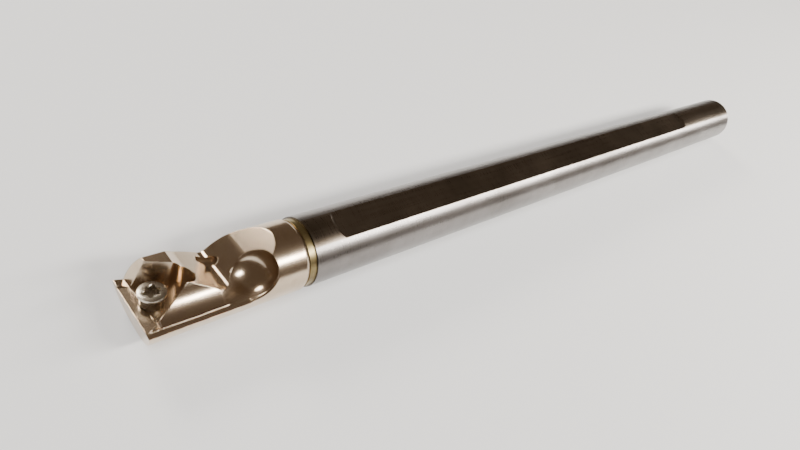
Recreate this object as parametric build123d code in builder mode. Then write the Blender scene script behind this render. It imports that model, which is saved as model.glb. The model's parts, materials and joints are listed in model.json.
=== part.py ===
from build123d import *
import os
from math import cos, radians, sin, sqrt, tan

# Indexable boring bar: a carbide shank with a coolant bore, a steel head brazed to its end, and the
# clamping screw left standing in the empty insert pocket. Millimetres, +Z up. The origin is the
# centre of the shank's tail face, on the bar's axis, and the bar runs along +X to the head. The bar
# lies as it comes to rest, turned a little about its axis from the clamping flat level on top.

# --- driving dimensions -------------------------------------------------------------------------
overall_length = 125.0        # tail face to the head's front face
bar_diameter = 8.0
bar_radius = bar_diameter / 2
rest_roll = -3.75             # turn about the axis from the clamping flat level on top

# shank
flat_height = 3.6             # clamping flat above the axis
flat_start = 21.6             # behind the nose
flat_end = 105.3              # behind the nose
flat_runout = 0.7             # length of the slope at each end of the flat
tail_chamfer = 0.5
coolant_bore_diameter = 2.0

# braze joint
joint_distance = 17.4         # behind the nose
braze_thickness = 0.85
braze_sink = 0.17             # how far the solder lies below the bar's surface
joint_chamfer_length = 0.5
joint_chamfer_depth = 0.25

# insert seat: positions are counted back from the nose and across from the seat's centre line
seat_tilt = 18.1              # the cutting side is the lower one
seat_drop = 0.57              # seat plane below the axis
insert_circle = 4.76          # inscribed circle of the missing triangular insert
insert_thickness = 2.38
insert_clearance = 11.0
lead_angle = 93.0
screw_back = 2.0
screw_across = -0.15
wall_height = 3.0             # seat wall above the seat
wall_start = (1.08, 2.41)     # foot of the long wall's front end: back, across
wall_end_sweep = 15.0
wall_end_lean = 8.0
front_relief = 11.0           # the front face falls back below the seat

# relief in the corner of the seat
relief_back = 4.95
relief_across = 0.0
relief_radius = 1.3

# gullet along the other side, with a chamfered edge
gullet_radius = 3.15
gullet_across = -4.4
gullet_end = 10.5
edge_chamfer_width = 0.45
edge_chamfer_depth = 0.22

# ball-ended pass at the back of the gullet, parallel to the short wall, as back, across and height
scoop_centre = (10.95, -2.7, 2.55)
scoop_radius = 2.65

# notch across the top, as back and height above the seat
notch_top = (4.6, 3.0)
notch_shoulder = (5.5, 2.2)
notch_floor = (8.95, 0.45)
notch_ramp = (11.3, 2.65)
notch_exit = (14.5, 4.6)
shoulder_radius = 2.0
floor_radius = 0.8
ramp_radius = 3.0

# coolant outlet on the notch's ramp
outlet_diameter = 1.2
outlet_back = 8.9
outlet_across = 2.2
outlet_height = 0.55
outlet_turn = 14.5            # the outlet branches off the bore this far behind the nose

# insert screw
screw_diameter = 2.2
screw_length = 4.9
screw_head_diameter = 2.7
screw_rim = 0.3
screw_cone_half_angle = 30.0
screw_lift = 1.55             # top of the head above the seat
screw_end_chamfer = 0.25
thread_clearance = 0.03
star_tip_diameter = 1.75      # six-lobe drive, across the lobes
star_root_diameter = 1.27     # across the hollows
star_depth = 0.7
star_lobes = 6

reach = 4 * bar_radius        # longer than any cut through the bar
cut_margin = 1.0              # open-ended cuts start this far outside the bar


def tilted(angle):
    """The direction that +Z takes when it is turned about the bar's axis."""
    return (0, -sin(radians(angle)), cos(radians(angle)))


def polar(centre, radius, angle):
    """A point at a distance and an angle from a centre in a plane."""
    return (centre[0] + radius * cos(radians(angle)), centre[1] + radius * sin(radians(angle)))


# --- working planes -----------------------------------------------------------------------------
# local x runs along the bar from its tail, local z is square to the clamping flat
bar = Plane(origin=(0, 0, 0), x_dir=(1, 0, 0), z_dir=tilted(rest_roll))
# local x runs along the bar, local y away from the axis towards the flat
bar_side = Plane(origin=bar.origin, x_dir=bar.x_dir, z_dir=-bar.y_dir)
# square across the bar at its tail, local x towards the flat
bar_end = Plane(origin=bar.origin, x_dir=bar.z_dir, z_dir=bar.x_dir)

# local x runs back along the bar, local y across to the cutting side, local z away from the seat
seat_origin = bar.from_local_coords((overall_length, 0, -seat_drop))
seat_normal = tilted(rest_roll + seat_tilt)
seat = Plane(origin=seat_origin, x_dir=-bar.x_dir, z_dir=seat_normal)
# local x runs back along the bar, local y away from the seat
seat_side = Plane(origin=seat_origin, x_dir=seat.x_dir, z_dir=-seat.y_dir)
# local x runs across to the cutting side, local y away from the seat
seat_front = Plane(origin=seat_origin, x_dir=seat.y_dir, z_dir=seat.x_dir)
screw_centre = (screw_back, screw_across)
screw_origin = seat.from_local_coords((screw_back, screw_across, 0))
joint_x = overall_length - joint_distance
shank_end = joint_x - braze_thickness

# --- shank --------------------------------------------------------------------------------------
flat_x0 = overall_length - flat_end
flat_x1 = overall_length - flat_start

with BuildPart() as shank:
    with BuildSketch(bar_end):
        Circle(bar_radius)
    extrude(amount=shank_end)
    chamfer(shank.edges().group_by(Axis.X)[0], length=tail_chamfer)
    with BuildSketch(bar_side):
        with BuildLine():
            Polyline(
                (flat_x0, bar_radius),
                (flat_x0 + flat_runout, flat_height),
                (flat_x1 - flat_runout, flat_height),
                (flat_x1, bar_radius),
                close=True,
            )
        make_face()
    extrude(amount=bar_radius, both=True, mode=Mode.SUBTRACT)
    with BuildSketch(bar_end):
        Circle(coolant_bore_diameter / 2)
    extrude(amount=shank_end, mode=Mode.SUBTRACT)

# --- braze joint --------------------------------------------------------------------------------
with BuildPart() as braze_joint:
    with BuildSketch(bar_end.offset(shank_end)):
        Circle(bar_radius - braze_sink)
        Circle(coolant_bore_diameter / 2, mode=Mode.SUBTRACT)
    extrude(amount=braze_thickness)

# --- head ---------------------------------------------------------------------------------------
# The insert stands on a triangle smaller than its top, because its sides lean in by the clearance.
seat_inradius = insert_circle / 2 - insert_thickness * tan(radians(insert_clearance))
corner_angle = lead_angle - 90
long_wall_angle = corner_angle + 150
short_wall_angle = corner_angle - 150
inner_corner = polar(screw_centre, 2 * seat_inradius, corner_angle)

# axis of the coolant outlet, from the bore to the notch
outlet_start = bar.from_local_coords((overall_length - outlet_turn, 0, 0))
outlet_mouth = seat.from_local_coords((outlet_back, outlet_across, outlet_height))
outlet_run = outlet_mouth - outlet_start

# path of the scoop's cutter
scoop_start = seat.from_local_coords(scoop_centre)
scoop_exit = seat.from_local_coords((*polar(scoop_centre, reach, short_wall_angle), scoop_centre[2]))

with BuildPart() as head:
    with BuildSketch(bar_end.offset(joint_x)):
        Circle(bar_radius)
    extrude(amount=joint_distance)
    joint_edge = head.edges().group_by(Axis.X)[0]
    joint_face = head.faces().sort_by(Axis.X)[0]
    chamfer(joint_edge, length=joint_chamfer_depth, length2=joint_chamfer_length, reference=joint_face)

    # insert pocket, open to the front, its two walls leaning out by the insert's clearance
    with BuildSketch(seat):
        with BuildLine():
            Polyline(
                inner_corner,
                polar(inner_corner, reach, long_wall_angle),
                polar(inner_corner, reach, short_wall_angle),
                close=True,
            )
        make_face()
    extrude(amount=reach, taper=-insert_clearance, mode=Mode.SUBTRACT)

    # front end of the long wall: everything ahead of it is cleared down to the seat
    wall_foot = seat.from_local_coords((*wall_start, 0))
    with BuildSketch(Plane(wall_foot, seat_side.x_dir, seat_side.z_dir).rotated((0, -wall_end_sweep, 0))):
        with BuildLine():
            Polyline(
                (-reach, 0),
                (0, 0),
                (reach * tan(radians(wall_end_lean)), reach),
                (-reach, reach),
                close=True,
            )
        make_face()
    extrude(amount=reach, both=True, mode=Mode.SUBTRACT)

    # front face below the seat
    with BuildSketch(seat_side):
        with BuildLine():
            Polyline(
                (-cut_margin, 0),
                (0, 0),
                (reach * tan(radians(front_relief)), -reach),
                (-cut_margin, -reach),
                close=True,
            )
        make_face()
    extrude(amount=reach, both=True, mode=Mode.SUBTRACT)

    # relief for the insert's inner corner
    with BuildSketch(seat):
        with Locations((relief_back, relief_across)):
            Circle(relief_radius)
    extrude(amount=reach, mode=Mode.SUBTRACT)

    # top of the walls, and the notch that the coolant comes out of
    with BuildSketch(seat_side):
        with BuildLine():
            FilletPolyline(
                notch_top,
                notch_shoulder,
                notch_floor,
                notch_ramp,
                notch_exit,
                radius=(shoulder_radius, floor_radius, ramp_radius),
            )
            Polyline(
                notch_exit,
                (notch_exit[0], reach),
                (-cut_margin, reach),
                (-cut_margin, wall_height),
                notch_top,
            )
        make_face()
    extrude(amount=reach, both=True, mode=Mode.SUBTRACT)

    # ball-nosed gullet
    with BuildSketch(seat_front.offset(-cut_margin)):
        with Locations((gullet_across, gullet_radius)):
            Circle(gullet_radius)
    extrude(amount=gullet_end + cut_margin, mode=Mode.SUBTRACT)
    with Locations(seat.from_local_coords((gullet_end, gullet_across, gullet_radius))):
        Sphere(gullet_radius, mode=Mode.SUBTRACT)

    # second ball-nosed pass, which scoops the foot of the ramp
    with Locations(scoop_start):
        Sphere(scoop_radius, mode=Mode.SUBTRACT)
    with BuildSketch(Plane(origin=scoop_start, z_dir=scoop_exit - scoop_start)):
        Circle(scoop_radius)
    extrude(amount=reach, mode=Mode.SUBTRACT)

    # chamfer along the gullet's free edge
    edge_across = -sqrt(bar_radius**2 - seat_drop**2)
    with BuildSketch(seat_front.offset(-cut_margin)):
        with BuildLine():
            Polyline(
                (edge_across + edge_chamfer_width, 0),
                (edge_across, -edge_chamfer_depth),
                (-reach, -edge_chamfer_depth),
                (-reach, reach),
                (gullet_across, reach),
                (gullet_across, edge_chamfer_width),
                close=True,
            )
        make_face()
    extrude(amount=gullet_end + cut_margin, mode=Mode.SUBTRACT)

    # coolant bore up to the outlet, and the outlet's oblique hole
    with BuildSketch(bar_end.offset(joint_x)):
        Circle(coolant_bore_diameter / 2)
    extrude(amount=joint_distance - outlet_turn, mode=Mode.SUBTRACT)
    with BuildSketch(Plane(origin=outlet_start, z_dir=outlet_run)):
        Circle(outlet_diameter / 2)
    extrude(amount=outlet_run.length + outlet_diameter, mode=Mode.SUBTRACT)

    # tapped hole for the insert screw, right through the floor of the pocket
    with BuildSketch(seat):
        with Locations(screw_centre):
            Circle(screw_diameter / 2 + thread_clearance)
    extrude(amount=-reach, mode=Mode.SUBTRACT)

# --- insert screw -------------------------------------------------------------------------------
# The profile stands on the screw's own plane: local x is the radius, local y the height above the seat.
head_radius = screw_head_diameter / 2
thread_radius = screw_diameter / 2
cone_height = (head_radius - thread_radius) / tan(radians(screw_cone_half_angle))
neck_height = screw_lift - screw_rim - cone_height
screw_end = screw_lift - screw_length

with BuildPart() as insert_screw:
    with BuildSketch(Plane(origin=screw_origin, x_dir=seat_side.x_dir, z_dir=seat_side.z_dir)):
        with BuildLine():
            Polyline(
                (0, screw_end),
                (thread_radius - screw_end_chamfer, screw_end),
                (thread_radius, screw_end + screw_end_chamfer),
                (thread_radius, neck_height),
                (head_radius, screw_lift - screw_rim),
                (head_radius, screw_lift),
                (0, screw_lift),
                close=True,
            )
        make_face()
    revolve(axis=Axis(screw_origin, seat_normal))
    # six-lobe drive: round lobes about a core, joined by the straight flanks between them
    lobe_radius = (star_tip_diameter - star_root_diameter) / 2
    with BuildSketch(Plane(origin=screw_origin, x_dir=(-1, 0, 0), z_dir=seat_normal).offset(screw_lift)):
        Circle(star_root_diameter / 2)
        with PolarLocations(star_tip_diameter / 2 - lobe_radius, star_lobes):
            Circle(lobe_radius)
    extrude(amount=-star_depth, mode=Mode.SUBTRACT)

# --- files --------------------------------------------------------------------------------------
os.makedirs("parts", exist_ok=True)
shank.part.label = "shank"
braze_joint.part.label = "braze_joint"
head.part.label = "head"
insert_screw.part.label = "insert_screw"
export_step(shank.part, "parts/shank.step")
export_step(braze_joint.part, "parts/braze_joint.step")
export_step(head.part, "parts/head.step")
export_step(insert_screw.part, "parts/insert_screw.step")
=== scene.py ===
import json
from math import cos, pi, radians, sin, tan, tau

import bmesh
import bpy
from bpy.props import FloatProperty, FloatVectorProperty, IntProperty, PointerProperty
from mathutils import Matrix, Vector


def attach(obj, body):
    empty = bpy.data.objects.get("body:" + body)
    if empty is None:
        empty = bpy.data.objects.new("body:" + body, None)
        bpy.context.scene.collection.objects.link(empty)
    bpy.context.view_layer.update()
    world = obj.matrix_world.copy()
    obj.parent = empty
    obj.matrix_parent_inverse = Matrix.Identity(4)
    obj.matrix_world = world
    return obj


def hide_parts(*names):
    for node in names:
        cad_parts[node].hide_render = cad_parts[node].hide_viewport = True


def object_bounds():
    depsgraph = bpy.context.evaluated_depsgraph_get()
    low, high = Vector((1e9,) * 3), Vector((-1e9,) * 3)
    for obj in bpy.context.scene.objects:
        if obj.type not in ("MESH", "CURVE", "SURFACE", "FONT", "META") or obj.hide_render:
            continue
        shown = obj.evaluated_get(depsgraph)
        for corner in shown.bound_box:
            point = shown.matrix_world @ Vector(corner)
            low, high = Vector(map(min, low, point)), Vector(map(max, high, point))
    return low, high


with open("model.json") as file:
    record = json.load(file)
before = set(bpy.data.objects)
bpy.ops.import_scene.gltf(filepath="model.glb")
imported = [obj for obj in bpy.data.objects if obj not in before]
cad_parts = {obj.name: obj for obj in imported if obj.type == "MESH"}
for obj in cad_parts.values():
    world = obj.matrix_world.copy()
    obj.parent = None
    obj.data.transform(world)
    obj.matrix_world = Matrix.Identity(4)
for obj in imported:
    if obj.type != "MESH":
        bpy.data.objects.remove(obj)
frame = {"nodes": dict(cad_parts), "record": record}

bl_info = {
    "name": "Boring bar finish",
    "version": (1, 0, 0),
    "blender": (4, 5, 0),
    "location": "View3D > Sidebar > Boring bar",
    "description": "Finishes, insert screw and studio stage for a brazed boring bar",
    "category": "Object",
}

# Metres, in the frame of the solid model: the bar lies along +X, its clamping flat nearly upwards.
MM = 0.001
CAD_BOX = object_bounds()
MOUNTS = {mount["name"]: mount for mount in frame["record"]["mounts"]}
FLAT_NORMAL = Vector(MOUNTS["clamping_flat"]["axis"])
FLAT_HEIGHT = Vector(MOUNTS["clamping_flat"]["pos_m"]).dot(FLAT_NORMAL)
SEAT_NORMAL = Vector(MOUNTS["insert_seat"]["axis"])
SEAT_POINT = Vector(MOUNTS["insert_seat"]["pos_m"])

BAR_MIDDLE = (0.06, 0, 0)
HEAD_MIDDLE = (0.115, 0, 0)

# Screw: what its property group doesn't hold.
CONE_HALF_ANGLE = radians(30)
CREASE_ANGLE = radians(28)
RIM_ROUNDING = 0.08 * MM
LOBE_ROUNDING = 0.06 * MM
LOBE_CHAMFER = 0.05 * MM
DRIVE_CONE = 0.12 * MM
DRIVE_POINT = 0.2 * MM
PLAIN_SHAFT = 0.9 * MM
THREAD_RUN_OUT = 0.15 * MM
RINGS_PER_TURN = 8

# Stage: the strip runs along the bar, and the side lamp stands across from the head's open side.
STRIP_LIGHT = {
    "place": (-0.28, 0.163, 0.191),
    "target": (-0.28, 0, 0),
    "side": (0.64, 0, 0),
    "height": 0.044,
    "tone": (1.0, 0.96, 0.90),
}
SIDE_LIGHT = {
    "place": (0.15, -0.29, 0.17),
    "target": HEAD_MIDDLE,
    "side": (0.12, 0, 0),
    "height": 0.08,
    "tone": (1.0, 0.93, 0.84),
}
FILL_LIGHT = {
    "place": (0.55, 0.30, 0.75),
    "target": BAR_MIDDLE,
    "side": (0.6, 0, 0),
    "height": 0.6,
    "tone": (0.97, 0.98, 1.0),
}
FLOOR_SIZE = 4.0
FLOOR_ROUGHNESS = 0.75
CAMERA_PLACE = (142.43 * MM, 27.38 * MM, 55.09 * MM)
CAMERA_RIGHT = Vector((-0.7316, 0.5462, 0.4078))
CAMERA_UP = Vector((-0.2430, -0.7680, 0.5926))
SENSOR_WIDTH = 36.0
NEAREST_SEEN = 1 * MM


# --- materials ----------------------------------------------------------------------------------
class Shade:
    """A shader socket that can be used in Python expressions; each operator adds its Math node."""

    def __init__(self, tree, socket):
        self.tree = tree
        self.socket = socket

    def node(self, kind, settings=None, **inputs):
        """Adds a node of a type with its settings, then fills its sockets by name or by number."""
        made = self.tree.nodes.new(kind)
        for key, value in (settings or {}).items():
            setattr(made, key, value)
        for key, value in inputs.items():
            place = int(key[1:]) if key[0] == "_" and key[1:].isdigit() else key.replace("_", " ")
            self.feed(made.inputs[place], value)
        return made

    def feed(self, socket, value):
        if isinstance(value, Shade):
            self.tree.links.new(value.socket, socket)
        else:
            socket.default_value = value

    def out(self, made, name=0):
        return Shade(self.tree, made.outputs[name])

    def maths(self, operation, *values):
        made = self.node("ShaderNodeMath", {"operation": operation})
        for socket, value in zip(made.inputs, values):
            self.feed(socket, value)
        return self.out(made)

    def __add__(self, other):
        return self.maths("ADD", self, other)

    __radd__ = __add__

    def __sub__(self, other):
        return self.maths("SUBTRACT", self, other)

    def __rsub__(self, other):
        return self.maths("SUBTRACT", other, self)

    def __mul__(self, other):
        return self.maths("MULTIPLY", self, other)

    __rmul__ = __mul__

    def __truediv__(self, other):
        return self.maths("DIVIDE", self, other)

    def __pow__(self, other):
        return self.maths("POWER", self, other)

    def limited(self, low, high):
        """This value as a fraction of the way from low to high, held between 0 and 1."""
        made = self.node("ShaderNodeMapRange", {"clamp": True}, Value=self, From_Min=low, From_Max=high)
        return self.out(made)

    def mix(self, first, second):
        """Between two colours, by this value."""
        made = self.node("ShaderNodeMix", {"data_type": "RGBA"})
        self.feed(made.inputs["Factor"], self)
        self.feed(made.inputs[6], first)
        self.feed(made.inputs[7], second)
        return Shade(self.tree, made.outputs[2])


class Finish:
    """A material being built: a principled surface and the place of each point on the object."""

    def __init__(self, name, metallic, **constants):
        self.material = bpy.data.materials.new(name)
        self.material.use_nodes = True
        self.tree = self.material.node_tree
        self.surface = self.tree.nodes["Principled BSDF"]
        self.surface.inputs["Metallic"].default_value = metallic
        for key, value in constants.items():
            self.surface.inputs[key.replace("_", " ")].default_value = value
        start = Shade(self.tree, None)
        coordinates = start.node("ShaderNodeTexCoord")
        self.place = Shade(self.tree, coordinates.outputs["Object"])
        axes = start.node("ShaderNodeSeparateXYZ", Vector=self.place)
        self.x, self.y, self.z = (start.out(axes, axis) for axis in "XYZ")

    def along(self, direction):
        """Distance from the origin along a direction."""
        return self.x * direction.x + self.y * direction.y + self.z * direction.z

    def noise(self, scale, detail=2.0, roughness=0.5, stretch=(1, 1, 1)):
        """Noise whose grain is one over scale metres, stretched along the axes."""
        moved = self.place.node("ShaderNodeMapping", Vector=self.place, Scale=stretch)
        made = self.place.node(
            "ShaderNodeTexNoise",
            Vector=self.place.out(moved),
            Scale=scale,
            Detail=detail,
            Roughness=roughness,
        )
        return self.place.out(made)

    def set(self, socket, value):
        self.place.feed(self.surface.inputs[socket], value)

    def bump(self, height, distance, strength=1.0, edge=0.0):
        """Relief of the given depth over edges that are rounded by the edge radius."""
        rounded = self.place.node("ShaderNodeBevel", {"samples": 6}, Radius=edge)
        made = self.place.node(
            "ShaderNodeBump",
            Height=height,
            Distance=distance,
            Strength=strength,
            Normal=self.place.out(rounded),
        )
        self.set("Normal", self.place.out(made))


def colour(values):
    return (*values[:3], 1.0)


def carbide_finish(look):
    """Ground carbide: dark warm grey, satin, with fine rings round the bar and lengthwise rubs. The clamping
    flat gets a browner, darker colour, a painted reflection of the warm room.
    """
    finish = Finish("ground_carbide", 1.0)
    rings = finish.noise(60.0, 3.0, 0.6, stretch=(180, 6, 6))
    rubs = finish.noise(90.0, 4.0, 0.7, stretch=(1, 22, 22))
    cloud = finish.noise(130.0, 3.0, 0.6)
    lift = finish.along(FLAT_NORMAL)
    # Mask of the clamping flat, where the brown of the warm room is painted in as a reflection.
    flat_reflection_mask = lift.limited(FLAT_HEIGHT - 0.02 * MM, FLAT_HEIGHT - 0.005 * MM)
    base = cloud.limited(0.3, 0.7).mix(colour(look.carbide_dark), colour(look.carbide_light))
    # Painted reflection: the flat's browner, darker tones stand for the brown room mirrored in it.
    flat_painted_reflection = cloud.limited(0.35, 0.7).mix(colour(look.flat_painted_reflection_dark), colour(look.flat_painted_reflection_light))
    finish.set("Base Color", flat_reflection_mask.mix(base, flat_painted_reflection))
    rough = look.carbide_roughness + (rings - 0.5) * 0.16 + (rubs - 0.5) * 0.14
    finish.set("Roughness", rough)
    finish.bump(rings * 0.6 + rubs * 0.4, 0.004 * MM, 0.5)
    return finish.material


def head_finish(look):
    """Bright nickelled steel with a warm tone, milled and slightly clouded."""
    finish = Finish("nickelled_steel", 1.0)
    cloud = finish.noise(260.0, 4.0, 0.6)
    tool_marks = finish.noise(240.0, 2.0, 0.5, stretch=(14, 1, 1))
    base = cloud.limited(0.35, 0.75).mix(colour(look.head_light), colour(look.head_dark))
    finish.set("Base Color", base)
    finish.set("Roughness", look.head_roughness + (cloud - 0.5) * 0.1)
    finish.bump(tool_marks, 0.003 * MM, 0.4, edge=0.14 * MM)
    return finish.material


def solder_finish(look):
    """Brazing solder: dull yellow, flowed and slightly pitted."""
    finish = Finish("brazing_solder", 1.0)
    cloud = finish.noise(420.0, 4.0, 0.65)
    finish.set("Base Color", cloud.limited(0.3, 0.7).mix(colour(look.solder_light), colour(look.solder_dark)))
    finish.set("Roughness", 0.34 + (cloud - 0.5) * 0.3)
    finish.bump(cloud, 0.02 * MM, 0.5)
    return finish.material


def screw_finish(look):
    """Bright hardened steel, lighter and darker in random clouds."""
    finish = Finish("hardened_steel", 1.0)
    cloud = finish.noise(700.0, 3.0, 0.6)
    finish.set("Base Color", cloud.limited(0.3, 0.7).mix(colour(look.screw_light), colour(look.screw_dark)))
    finish.set("Roughness", 0.27 + (cloud - 0.5) * 0.14)
    return finish.material


# --- modelling helpers --------------------------------------------------------------------------
def nothing_selected():
    if bpy.context.mode != "OBJECT":
        bpy.ops.object.mode_set(mode="OBJECT")
    bpy.ops.object.select_all(action="DESELECT")


def in_edit_mode(piece):
    nothing_selected()
    bpy.context.view_layer.objects.active = piece
    piece.select_set(True)
    bpy.ops.object.mode_set(mode="EDIT")
    return bmesh.from_edit_mesh(piece.data)


def place_applied(piece, name):
    """Leaves the piece at the origin, unturned and unscaled, with its place in its mesh."""
    nothing_selected()
    bpy.context.view_layer.objects.active = piece
    piece.select_set(True)
    bpy.ops.object.transform_apply(location=True, rotation=True, scale=True)
    piece.name = name
    piece.data.name = name
    return piece


def lathe(name, rings, sides, along):
    """A closed body made of rings, each a height and a radius that may depend on the angle.
    It is drawn on the world's axes, then carried to the matrix along."""
    nothing_selected()
    bpy.ops.mesh.primitive_circle_add(vertices=sides, radius=1.0, fill_type="NOTHING")
    piece = bpy.context.active_object
    mesh = in_edit_mode(piece)
    angles = [2 * pi * index / sides for index in range(sides)]
    mesh.verts.ensure_lookup_table()
    current = list(mesh.verts)

    def shape(verts, height, radius):
        for vert, angle in zip(verts, angles):
            r = radius(angle) if callable(radius) else radius
            vert.co = (r * cos(angle), r * sin(angle), height)

    shape(current, *rings[0])
    first = list(current)
    for height, radius in rings[1:]:
        for vert in mesh.verts:
            vert.select_set(False)
        for vert in current:
            vert.select_set(True)
        mesh.select_flush(True)
        bpy.ops.mesh.extrude_edges_move()
        mesh = bmesh.from_edit_mesh(piece.data)
        mesh.verts.ensure_lookup_table()
        current = [mesh.verts[len(mesh.verts) - sides + index] for index in range(sides)]
        first = [mesh.verts[index] for index in range(sides)]
        shape(current, height, radius)
    for end in (first, current):
        mesh.faces.new(end)
    bmesh.update_edit_mesh(piece.data)
    bpy.ops.mesh.select_all(action="SELECT")
    bpy.ops.mesh.normals_make_consistent(inside=False)
    bpy.ops.object.mode_set(mode="OBJECT")
    piece.data.transform(along)
    return place_applied(piece, name)


def seat_matrix():
    """From a lathe's axes to the screw's: its z along the seat's normal."""
    side = Vector((-1, 0, 0))
    across = SEAT_NORMAL.cross(side)
    turn = Matrix((side, across, SEAT_NORMAL)).transposed()
    return Matrix.Translation(SEAT_POINT) @ turn.to_4x4()


def smooth(piece, angle):
    nothing_selected()
    bpy.context.view_layer.objects.active = piece
    piece.select_set(True)
    bpy.ops.object.shade_smooth_by_angle(angle=angle)


# --- settings -----------------------------------------------------------------------------------
def tint(name, description, default):
    return FloatVectorProperty(
        name=name, description=description, default=default, subtype="COLOR", size=3, min=0.0, max=1.0
    )


class BarLook(bpy.types.PropertyGroup):
    """Colours and roughness of the bar's surfaces"""

    carbide_light: tint("Carbide, light", "Lighter tone of the ground shank", (0.31, 0.29, 0.28))
    carbide_dark: tint("Carbide, dark", "Darker tone of the ground shank", (0.20, 0.185, 0.175))
    # The two flat tones are a painted reflection of the warm brown room, not the carbide's own colour.
    flat_painted_reflection_light: tint("Flat, light", "Lighter tone of the clamping flat", (0.24, 0.20, 0.16))
    flat_painted_reflection_dark: tint("Flat, dark", "Darker tone of the clamping flat", (0.16, 0.13, 0.10))
    carbide_roughness: FloatProperty(
        name="Carbide roughness", description="Mean roughness of the ground shank", default=0.30, min=0, max=1
    )
    head_light: tint("Head, light", "Lighter tone of the nickelled head", (0.76, 0.63, 0.48))
    head_dark: tint("Head, dark", "Clouded tone of the nickelled head", (0.56, 0.43, 0.31))
    head_roughness: FloatProperty(
        name="Head roughness", description="Mean roughness of the head", default=0.21, min=0, max=1
    )
    solder_light: tint("Solder, light", "Clean solder at the joint", (0.42, 0.34, 0.17))
    solder_dark: tint("Solder, dark", "Tarnished solder at the joint", (0.20, 0.15, 0.07))
    screw_light: tint("Screw, light", "Clean steel of the screw", (0.62, 0.57, 0.48))
    screw_dark: tint("Screw, dark", "Darkened steel of the screw", (0.38, 0.34, 0.28))


class ScrewShape(bpy.types.PropertyGroup):
    """Sizes of the insert screw"""

    head_radius: FloatProperty(
        name="Head radius", description="Radius of the countersunk head", default=1.35 * MM, unit="LENGTH"
    )
    top: FloatProperty(
        name="Top", description="Top of the head above the seat", default=1.55 * MM, unit="LENGTH"
    )
    length: FloatProperty(
        name="Length", description="Length of the screw over its head", default=4.9 * MM, unit="LENGTH"
    )
    rim: FloatProperty(name="Rim", description="Height of the head's rim", default=0.3 * MM, unit="LENGTH")
    shaft_radius: FloatProperty(
        name="Shaft radius", description="Radius over the thread", default=1.1 * MM, unit="LENGTH"
    )
    pitch: FloatProperty(name="Pitch", description="Pitch of the thread", default=0.45 * MM, unit="LENGTH")
    thread_depth: FloatProperty(
        name="Thread depth", description="Depth of the thread", default=0.24 * MM, unit="LENGTH"
    )
    lobe_tip: FloatProperty(
        name="Lobe tip", description="Radius over the drive's lobes", default=0.875 * MM, unit="LENGTH"
    )
    lobe_root: FloatProperty(
        name="Lobe root", description="Radius at the drive's hollows", default=0.635 * MM, unit="LENGTH"
    )
    drive_depth: FloatProperty(
        name="Drive depth", description="Depth of the drive", default=0.7 * MM, unit="LENGTH"
    )
    sides: IntProperty(name="Sides", description="Facets round the screw", default=96, min=24, max=384)


class StageLook(bpy.types.PropertyGroup):
    """Floor, lights and camera"""

    floor_colour: tint("Floor", "Colour of the plain floor", (0.80, 0.80, 0.79))
    lens: FloatProperty(name="Lens", description="Focal length of the camera in millimetres", default=28.8)
    key_power: FloatProperty(
        name="Strip light", description="Power of the strip light", default=3.0, unit="POWER"
    )
    side_power: FloatProperty(
        name="Side light", description="Power of the side light", default=0.7, unit="POWER"
    )
    fill_power: FloatProperty(
        name="Fill light", description="Power of the fill light", default=12.0, unit="POWER"
    )
    surround: tint("Surround", "Colour of the room round the stage", (0.115, 0.085, 0.06))


# --- operators ----------------------------------------------------------------------------------
def dress(node, material):
    """Gives a solid of the frame its finish in every material slot."""
    piece = frame["nodes"][node]
    if not piece.material_slots:
        raise RuntimeError(f"{node} has no material slot")
    for slot in piece.material_slots:
        slot.material = material


class BAR_OT_shank(bpy.types.Operator):
    """Finishes the ground carbide shank"""

    bl_idname = "boring_bar.shank"
    bl_label = "Shank"

    def execute(self, context):
        dress("shank", carbide_finish(context.scene.bar_look))
        return {"FINISHED"}


class BAR_OT_braze(bpy.types.Operator):
    """Finishes the brazed joint"""

    bl_idname = "boring_bar.braze"
    bl_label = "Brazed joint"

    def execute(self, context):
        dress("braze_joint", solder_finish(context.scene.bar_look))
        return {"FINISHED"}


class BAR_OT_head(bpy.types.Operator):
    """Finishes the nickelled head"""

    bl_idname = "boring_bar.head"
    bl_label = "Head"

    def execute(self, context):
        dress("head", head_finish(context.scene.bar_look))
        return {"FINISHED"}


class BAR_OT_screw(bpy.types.Operator):
    """Models the insert screw with its drive and its thread"""

    bl_idname = "boring_bar.screw"
    bl_label = "Insert screw"

    def execute(self, context):
        size = context.scene.screw_shape
        mean = (size.lobe_tip + size.lobe_root) / 2
        swing = (size.lobe_tip - size.lobe_root) / 2

        def lobes(angle):
            return mean + swing * cos(6 * angle)

        def wide_lobes(angle):
            return lobes(angle) + LOBE_ROUNDING

        cone_foot = size.top - size.rim - (size.head_radius - size.shaft_radius) / tan(CONE_HALF_ANGLE)
        round_off = RIM_ROUNDING
        core = size.shaft_radius - size.thread_depth
        neck = cone_foot - PLAIN_SHAFT
        end = size.top - size.length

        def helix(height):
            def radius(angle):
                turn = (height / size.pitch - angle / tau) % 1
                return size.shaft_radius - size.thread_depth * (1 - abs(2 * turn - 1))

            return radius

        step = size.pitch / RINGS_PER_TURN
        count = int((neck - end - 2 * THREAD_RUN_OUT) / step)
        heights = [neck - THREAD_RUN_OUT - index * step for index in range(count)]
        turns = [(height, helix(height)) for height in heights]
        rings = [
            (size.top - size.drive_depth - DRIVE_CONE, DRIVE_POINT),
            (size.top - size.drive_depth, lobes),
            (size.top - LOBE_CHAMFER, lobes),
            (size.top, wide_lobes),
            (size.top, size.head_radius - round_off),
            (size.top - 0.3 * round_off, size.head_radius - 0.3 * round_off),
            (size.top - round_off, size.head_radius),
            (size.top - size.rim, size.head_radius),
            (cone_foot, size.shaft_radius),
            (neck, size.shaft_radius),
            *turns,
            (end, core - THREAD_RUN_OUT),
        ]
        piece = lathe("insert_screw_detailed", rings, size.sides, seat_matrix())
        smooth(piece, CREASE_ANGLE)
        piece.data.materials.append(screw_finish(context.scene.bar_look))
        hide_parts("insert_screw")
        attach(piece, "screw")
        return {"FINISHED"}


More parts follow.
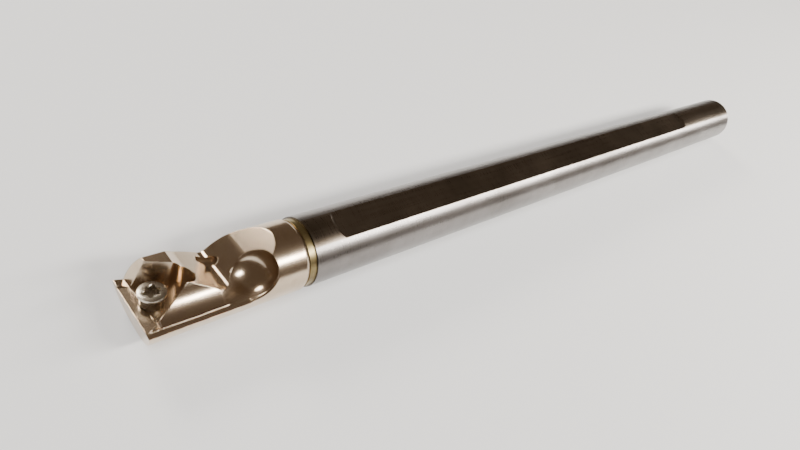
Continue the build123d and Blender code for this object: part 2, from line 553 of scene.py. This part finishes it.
def area_light(name, power, place, target, side, height, tone):
    """Rectangular lamp that faces the target, with its long side given as a vector."""
    nothing_selected()
    bpy.ops.object.light_add(type="AREA", location=place)
    lamp = bpy.context.active_object
    lamp.name = name
    along = Vector(side).normalized()
    back = Vector(place) - Vector(target)
    back = (back - along * back.dot(along)).normalized()
    lamp.rotation_euler = Matrix((along, back.cross(along), back)).transposed().to_euler()
    lamp.data.shape = "RECTANGLE"
    lamp.data.size = Vector(side).length
    lamp.data.size_y = height
    lamp.data.energy = power
    lamp.data.color = tone
    return lamp


class BAR_OT_stage(bpy.types.Operator):
    """Lays the plain floor, sets the lights and the camera"""

    bl_idname = "boring_bar.stage"
    bl_label = "Stage"

    def execute(self, context):
        look = context.scene.stage_look
        nothing_selected()
        floor_height = CAD_BOX[0][2]
        bpy.ops.mesh.primitive_plane_add(size=FLOOR_SIZE, location=(*BAR_MIDDLE[:2], floor_height))
        floor = place_applied(bpy.context.active_object, "floor")
        finish = Finish("plain_floor", 0.0)
        finish.set("Base Color", colour(look.floor_colour))
        finish.set("Roughness", FLOOR_ROUGHNESS)
        floor.data.materials.append(finish.material)

        area_light("strip_light", look.key_power, **STRIP_LIGHT)
        area_light("side_light", look.side_power, **SIDE_LIGHT)
        fill = area_light("fill_light", look.fill_power, **FILL_LIGHT)
        fill.visible_glossy = False

        world = bpy.data.worlds.new("studio")
        world.use_nodes = True
        world.node_tree.nodes["Background"].inputs["Color"].default_value = colour(look.surround)
        context.scene.world = world

        back = CAMERA_RIGHT.cross(CAMERA_UP).normalized()
        bpy.ops.object.camera_add(location=CAMERA_PLACE)
        camera = bpy.context.active_object
        camera.name = "camera"
        camera.rotation_euler = Matrix((CAMERA_RIGHT, CAMERA_UP, back)).transposed().to_euler()
        camera.data.sensor_width = SENSOR_WIDTH
        camera.data.lens = look.lens
        camera.data.clip_start = NEAREST_SEEN
        context.scene.camera = camera
        return {"FINISHED"}


class BAR_PT_panel(bpy.types.Panel):
    """Lists the pieces and the stage"""

    bl_label = "Boring bar"
    bl_idname = "BAR_PT_panel"
    bl_space_type = "VIEW_3D"
    bl_region_type = "UI"
    bl_category = "Boring bar"

    def draw(self, context):
        for maker in MAKERS:
            self.layout.operator(maker.bl_idname)


MAKERS = (BAR_OT_shank, BAR_OT_braze, BAR_OT_head, BAR_OT_screw, BAR_OT_stage)
SETTINGS = {"bar_look": BarLook, "screw_shape": ScrewShape, "stage_look": StageLook}


def register():
    for made in (*SETTINGS.values(), *MAKERS, BAR_PT_panel):
        bpy.utils.register_class(made)
    for name, group in SETTINGS.items():
        setattr(bpy.types.Scene, name, PointerProperty(type=group))


def unregister():
    for name in SETTINGS:
        delattr(bpy.types.Scene, name)
    for made in (BAR_PT_panel, *reversed(MAKERS), *reversed(SETTINGS.values())):
        bpy.utils.unregister_class(made)


def main():
    register()
    bpy.ops.boring_bar.shank()
    bpy.ops.boring_bar.braze()
    bpy.ops.boring_bar.head()
    bpy.ops.boring_bar.screw()
    bpy.ops.boring_bar.stage()


if __name__ == "__main__":
    main()
